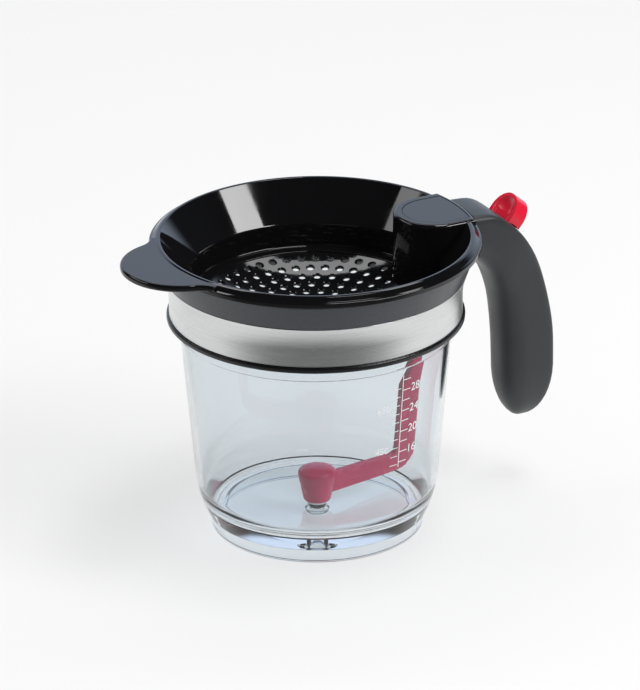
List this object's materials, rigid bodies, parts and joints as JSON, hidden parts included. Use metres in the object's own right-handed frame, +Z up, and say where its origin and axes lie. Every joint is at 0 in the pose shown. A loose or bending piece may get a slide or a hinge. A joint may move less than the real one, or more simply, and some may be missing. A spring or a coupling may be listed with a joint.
{
  "type": "fat separator",
  "caption": "Clear gravy fat separator jug with a lift-off strainer lid, a steel-banded collar, a drooping handle and a thumb trigger that lifts a stopper off the drain in its floor.",
  "frame": {"origin": "on the jar's axis, in the plane of the foot ring's underside that it stands on", "axes": "+X towards the handle, +Y to the left of someone who looks along +X, +Z up along the jar's axis"},
  "size_m": [0.226, 0.1604, 0.1506],
  "materials": {
    "clear_jar": "clear, polished",
    "black_gloss": "polished black",
    "dark_grey": "satin",
    "soft_grey": "soft touch",
    "black_ring": "satin black",
    "red_plastic": "satin red",
    "band_steel": "brushed round the band",
    "pin_steel": "plain",
    "seal_rubber": "silicone",
    "stopper_rubber": "silicone",
    "pale_rubber": "translucent silicone"
  },
  "bodies": {
    "vessel": {"jar": "clear_jar", "jar_seal": "seal_rubber", "base_ring": "black_ring", "steel_band": "band_steel", "collar": "dark_grey", "arm_guide": "dark_grey", "guide_screw_left": "pin_steel", "guide_screw_right": "pin_steel", "handle": "soft_grey", "handle_screw_left": "pin_steel", "handle_screw_right": "pin_steel", "trigger_pin": "pin_steel", "return_spring": "pin_steel"},
    "trigger": {"trigger_lever": "red_plastic", "link_pin": "pin_steel"},
    "valve": {"valve_arm": "red_plastic", "valve_stem": "stopper_rubber", "valve_seal": "pale_rubber"},
    "lid": {"strainer_lid": "black_gloss", "strainer_dish": "black_gloss", "housing_panel": "black_gloss"}
  },
  "joints": [
    {"name": "trigger_pivot", "type": "hinge", "parent": "vessel", "child": "trigger", "pos_m": [0.0966, 0, 0.1305], "axis": [0, 1, 0], "range_deg": [0, 10.5], "stiffness_Nm_per_rad": 1, "springref_deg": -8.59, "deforming": ["return_spring"]},
    {"name": "valve_lift", "type": "slide", "parent": "vessel", "child": "valve", "axis": [0, 0, 1], "range_m": [0, 0.007]},
    {"name": "lid_lift", "type": "slide", "parent": "vessel", "child": "lid", "axis": [0, 0, 1], "range_m": [0, 0.055]}
  ],
  "couplings": [
    {"joint": "valve_lift", "follows": "trigger_pivot", "m_per_rad": 0.03657}
  ]
}
